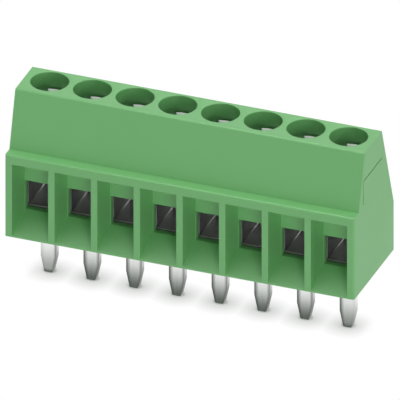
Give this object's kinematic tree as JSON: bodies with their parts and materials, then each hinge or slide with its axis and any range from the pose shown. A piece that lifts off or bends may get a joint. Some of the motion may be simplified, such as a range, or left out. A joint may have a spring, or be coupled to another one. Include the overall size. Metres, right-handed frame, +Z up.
{
  "type": "pcb terminal block",
  "caption": "Board-mounted screw terminal block: moulded housing with wire entries in front, slotted screws in bores on top, rising clamp sleeves inside and flat solder pins below.",
  "frame": {"origin": "middle of the pin row, on the face that sits on the circuit board", "axes": "+X along the row of poles, -Y the side the wires enter, +Z up from the board to the screws"},
  "size_m": [0.0208, 0.0062, 0.012],
  "materials": {
    "housing_plastic": "green moulded polyamide, satin",
    "screw_steel": "zinc-plated steel, bright",
    "sleeve_nickel": "nickel-plated copper alloy",
    "contact_tin": "tin-plated copper alloy"
  },
  "bodies": {
    "base": {"housing": "housing_plastic", "contact_pin_1": "contact_tin", "contact_pin_2": "contact_tin", "contact_pin_3": "contact_tin", "contact_pin_4": "contact_tin", "contact_pin_5": "contact_tin", "contact_pin_6": "contact_tin", "contact_pin_7": "contact_tin", "contact_pin_8": "contact_tin"},
    "screw_1": {"screw_1": "screw_steel"},
    "sleeve_1": {"clamp_sleeve_1": "sleeve_nickel"},
    "screw_2": {"screw_2": "screw_steel"},
    "sleeve_2": {"clamp_sleeve_2": "sleeve_nickel"},
    "screw_3": {"screw_3": "screw_steel"},
    "sleeve_3": {"clamp_sleeve_3": "sleeve_nickel"},
    "screw_4": {"screw_4": "screw_steel"},
    "sleeve_4": {"clamp_sleeve_4": "sleeve_nickel"},
    "screw_5": {"screw_5": "screw_steel"},
    "sleeve_5": {"clamp_sleeve_5": "sleeve_nickel"},
    "screw_6": {"screw_6": "screw_steel"},
    "sleeve_6": {"clamp_sleeve_6": "sleeve_nickel"},
    "screw_7": {"screw_7": "screw_steel"},
    "sleeve_7": {"clamp_sleeve_7": "sleeve_nickel"},
    "screw_8": {"screw_8": "screw_steel"},
    "sleeve_8": {"clamp_sleeve_8": "sleeve_nickel"}
  },
  "joints": [
    {"name": "screw_1_turn", "type": "hinge", "parent": "base", "child": "screw_1", "pos_m": [-0.00889, 0, 0.007], "axis": [0, 0, -1], "range_deg": [-0.1, 1800.1]},
    {"name": "sleeve_1_rise", "type": "slide", "parent": "base", "child": "sleeve_1", "axis": [0, 0, 1], "range_m": [0, 0.00175]},
    {"name": "screw_2_turn", "type": "hinge", "parent": "base", "child": "screw_2", "pos_m": [-0.00635, 0, 0.007], "axis": [0, 0, -1], "range_deg": [-0.1, 1800.1]},
    {"name": "sleeve_2_rise", "type": "slide", "parent": "base", "child": "sleeve_2", "axis": [0, 0, 1], "range_m": [0, 0.00175]},
    {"name": "screw_3_turn", "type": "hinge", "parent": "base", "child": "screw_3", "pos_m": [-0.00381, 0, 0.007], "axis": [0, 0, -1], "range_deg": [-0.1, 1800.1]},
    {"name": "sleeve_3_rise", "type": "slide", "parent": "base", "child": "sleeve_3", "axis": [0, 0, 1], "range_m": [0, 0.00175]},
    {"name": "screw_4_turn", "type": "hinge", "parent": "base", "child": "screw_4", "pos_m": [-0.00127, 0, 0.007], "axis": [0, 0, -1], "range_deg": [-0.1, 1800.1]},
    {"name": "sleeve_4_rise", "type": "slide", "parent": "base", "child": "sleeve_4", "axis": [0, 0, 1], "range_m": [0, 0.00175]},
    {"name": "screw_5_turn", "type": "hinge", "parent": "base", "child": "screw_5", "pos_m": [0.00127, 0, 0.007], "axis": [0, 0, -1], "range_deg": [-0.1, 1800.1]},
    {"name": "sleeve_5_rise", "type": "slide", "parent": "base", "child": "sleeve_5", "axis": [0, 0, 1], "range_m": [0, 0.00175]},
    {"name": "screw_6_turn", "type": "hinge", "parent": "base", "child": "screw_6", "pos_m": [0.00381, 0, 0.007], "axis": [0, 0, -1], "range_deg": [-0.1, 1800.1]},
    {"name": "sleeve_6_rise", "type": "slide", "parent": "base", "child": "sleeve_6", "axis": [0, 0, 1], "range_m": [0, 0.00175]},
    {"name": "screw_7_turn", "type": "hinge", "parent": "base", "child": "screw_7", "pos_m": [0.00635, 0, 0.007], "axis": [0, 0, -1], "range_deg": [-0.1, 1800.1]},
    {"name": "sleeve_7_rise", "type": "slide", "parent": "base", "child": "sleeve_7", "axis": [0, 0, 1], "range_m": [0, 0.00175]},
    {"name": "screw_8_turn", "type": "hinge", "parent": "base", "child": "screw_8", "pos_m": [0.00889, 0, 0.007], "axis": [0, 0, -1], "range_deg": [-0.1, 1800.1]},
    {"name": "sleeve_8_rise", "type": "slide", "parent": "base", "child": "sleeve_8", "axis": [0, 0, 1], "range_m": [0, 0.00175]}
  ],
  "couplings": [
    {"joint": "screw_1_turn", "follows": "sleeve_1_rise", "rad_per_m": 17952},
    {"joint": "screw_2_turn", "follows": "sleeve_2_rise", "rad_per_m": 17952},
    {"joint": "screw_3_turn", "follows": "sleeve_3_rise", "rad_per_m": 17952},
    {"joint": "screw_4_turn", "follows": "sleeve_4_rise", "rad_per_m": 17952},
    {"joint": "screw_5_turn", "follows": "sleeve_5_rise", "rad_per_m": 17952},
    {"joint": "screw_6_turn", "follows": "sleeve_6_rise", "rad_per_m": 17952},
    {"joint": "screw_7_turn", "follows": "sleeve_7_rise", "rad_per_m": 17952},
    {"joint": "screw_8_turn", "follows": "sleeve_8_rise", "rad_per_m": 17952}
  ]
}
